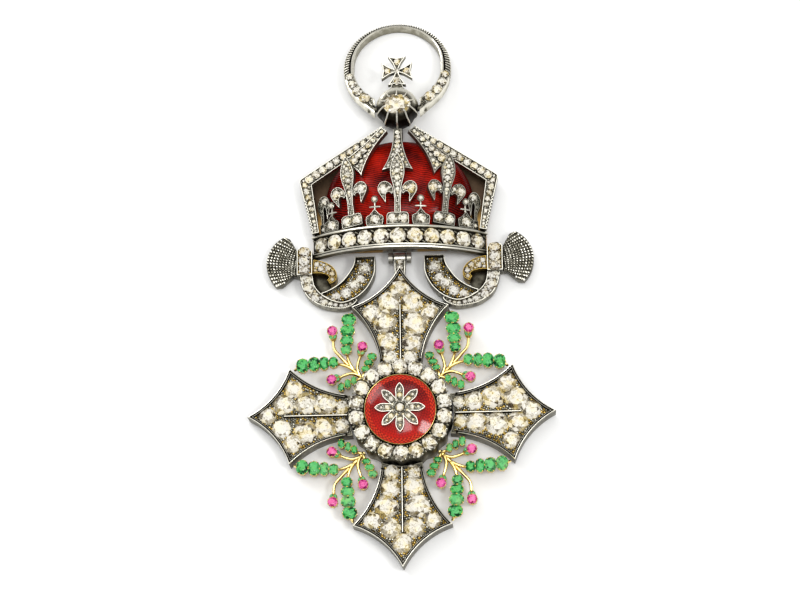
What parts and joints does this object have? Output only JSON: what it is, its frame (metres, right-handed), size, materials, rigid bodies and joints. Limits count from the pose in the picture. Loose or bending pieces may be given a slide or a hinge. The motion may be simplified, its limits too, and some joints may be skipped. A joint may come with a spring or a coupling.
{
  "type": "order neck badge",
  "caption": "Jewelled neck badge: an arched crown with enamel cap over a hinged, stone-set cross with a domed medallion and leaf sprays, hung from a pivoting ring.",
  "frame": {"origin": "on the surface that the badge lies on, below the middle of its bounding box", "axes": "+Z out of the badge's front, +Y up the badge towards the suspension ring, +X to the viewer's right"},
  "size_m": [0.055, 0.1034, 0.009],
  "materials": {
    "silver": "oxidised silver with bright worn edges",
    "gold": "polished gold",
    "diamond": "old-cut stones, faintly yellow",
    "emerald": "cut stones, mid green",
    "ruby": "cut stones, pinkish red",
    "enamel": "translucent red enamel over an engraved ground"
  },
  "bodies": {
    "crown": {"crown_back": "gold", "circlet": "silver", "circlet_diamonds": "diamond", "cap_enamel": "enamel", "arch_centre": "silver", "arch_left": "silver", "arch_right": "silver", "arch_far_left": "silver", "arch_far_right": "silver", "arch_diamonds": "diamond", "fleur_centre": "silver", "fleur_left": "silver", "fleur_right": "silver", "fleur_far_left": "silver", "fleur_far_right": "silver", "pearl_mount_1": "silver", "pearl_mount_2": "silver", "pearl_mount_3": "silver", "pearl_mount_4": "silver", "orb": "silver", "orb_diamond": "diamond", "orb_cross": "silver", "ribbon_left": "silver", "ribbon_right": "silver", "ribbon_left_diamonds": "diamond", "ribbon_right_diamonds": "diamond", "fringe_left": "silver", "fringe_right": "silver"},
    "cross": {"arm_top": "silver", "arm_left": "silver", "arm_right": "silver", "arm_bottom": "silver", "arm_top_diamonds": "diamond", "arm_left_diamonds": "diamond", "arm_right_diamonds": "diamond", "arm_bottom_diamonds": "diamond", "hub": "silver", "cluster_diamonds": "diamond", "medallion_rim": "gold", "medallion_enamel": "enamel", "rosette": "silver", "spray_1": "gold", "spray_2": "gold", "spray_3": "gold", "spray_4": "gold", "emeralds_1": "emerald", "emeralds_2": "emerald", "emeralds_3": "emerald", "emeralds_4": "emerald", "rubies": "ruby"},
    "ring": {"suspension_ring": "silver", "ring_diamonds": "diamond"}
  },
  "joints": [
    {"name": "cross_hinge", "type": "hinge", "parent": "crown", "child": "cross", "pos_m": [0, 0.00528, 0.0022], "axis": [1, 0, 0], "range_deg": [-45, 60]},
    {"name": "ring_pivot", "type": "hinge", "parent": "crown", "child": "ring", "pos_m": [0, 0.03333, 0.005], "axis": [1, 0, 0], "range_deg": [-30, 90]}
  ]
}
